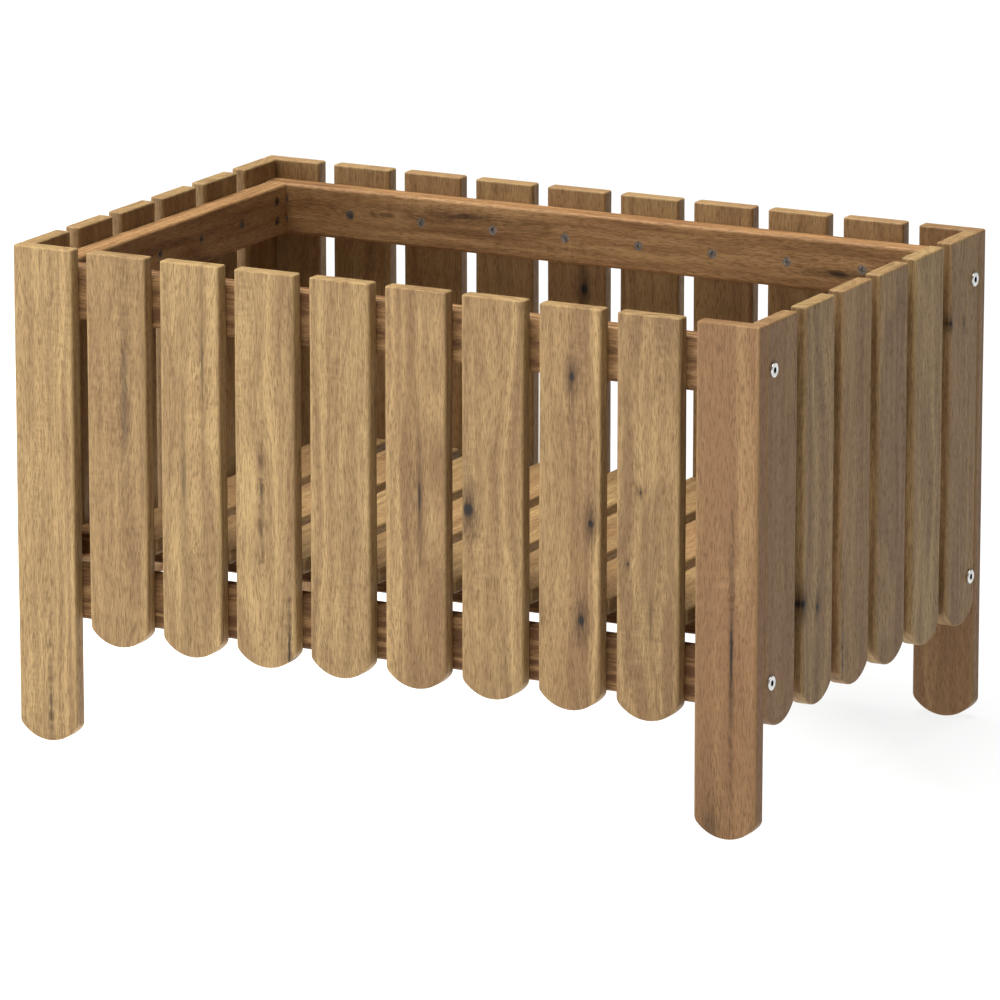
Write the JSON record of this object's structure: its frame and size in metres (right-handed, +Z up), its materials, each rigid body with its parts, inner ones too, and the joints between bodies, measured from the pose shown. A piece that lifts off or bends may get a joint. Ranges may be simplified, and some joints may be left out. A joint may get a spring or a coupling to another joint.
{
  "type": "raised planter on legs",
  "caption": "Slatted wooden box planter raised on plank legs, with round-ended slats, inner rails and a loose slatted floor.",
  "frame": {"origin": "on the ground, under the centre of the box", "axes": "+X along the long side, +Y towards the back long side, +Z up"},
  "size_m": [0.68, 0.428, 0.416],
  "materials": {
    "slat_acacia": "stained acacia, planed and lightly oiled",
    "rail_acacia": "stained acacia, planed and lightly oiled",
    "floor_acacia": "stained acacia, planed and lightly oiled",
    "bolt_zinc": "bright zinc plating",
    "screw_zinc": "zinc plating",
    "insert_zinc": "zinc plating"
  },
  "bodies": {
    "root": {"back_slat_1": "slat_acacia", "back_slat_2": "slat_acacia", "back_slat_3": "slat_acacia", "back_slat_4": "slat_acacia", "back_slat_5": "slat_acacia", "back_slat_6": "slat_acacia", "back_slat_7": "slat_acacia", "back_slat_8": "slat_acacia", "corner_bolts": "bolt_zinc", "floor_batten_back": "floor_acacia", "floor_batten_front": "floor_acacia", "floor_board_1": "floor_acacia", "floor_board_2": "floor_acacia", "floor_board_3": "floor_acacia", "floor_board_4": "floor_acacia", "floor_board_5": "floor_acacia", "floor_board_6": "floor_acacia", "floor_board_7": "floor_acacia", "floor_board_8": "floor_acacia", "front_slat_1": "slat_acacia", "front_slat_2": "slat_acacia", "front_slat_3": "slat_acacia", "front_slat_4": "slat_acacia", "front_slat_5": "slat_acacia", "front_slat_6": "slat_acacia", "front_slat_7": "slat_acacia", "front_slat_8": "slat_acacia", "insert_nuts": "insert_zinc", "left_slat_1": "slat_acacia", "left_slat_2": "slat_acacia", "left_slat_3": "slat_acacia", "left_slat_4": "slat_acacia", "left_slat_5": "slat_acacia", "left_slat_6": "slat_acacia", "leg_back_left": "slat_acacia", "leg_back_right": "slat_acacia", "leg_front_left": "slat_acacia", "leg_front_right": "slat_acacia", "rail_back_lower": "rail_acacia", "rail_back_upper": "rail_acacia", "rail_front_lower": "rail_acacia", "rail_front_upper": "rail_acacia", "rail_left_lower": "rail_acacia", "rail_left_upper": "rail_acacia", "rail_right_lower": "rail_acacia", "rail_right_upper": "rail_acacia", "right_slat_1": "slat_acacia", "right_slat_2": "slat_acacia", "right_slat_3": "slat_acacia", "right_slat_4": "slat_acacia", "right_slat_5": "slat_acacia", "right_slat_6": "slat_acacia", "screws_back": "screw_zinc", "screws_floor": "screw_zinc", "screws_front": "screw_zinc", "screws_left": "screw_zinc", "screws_right": "screw_zinc"}
  },
  "joints": []
}
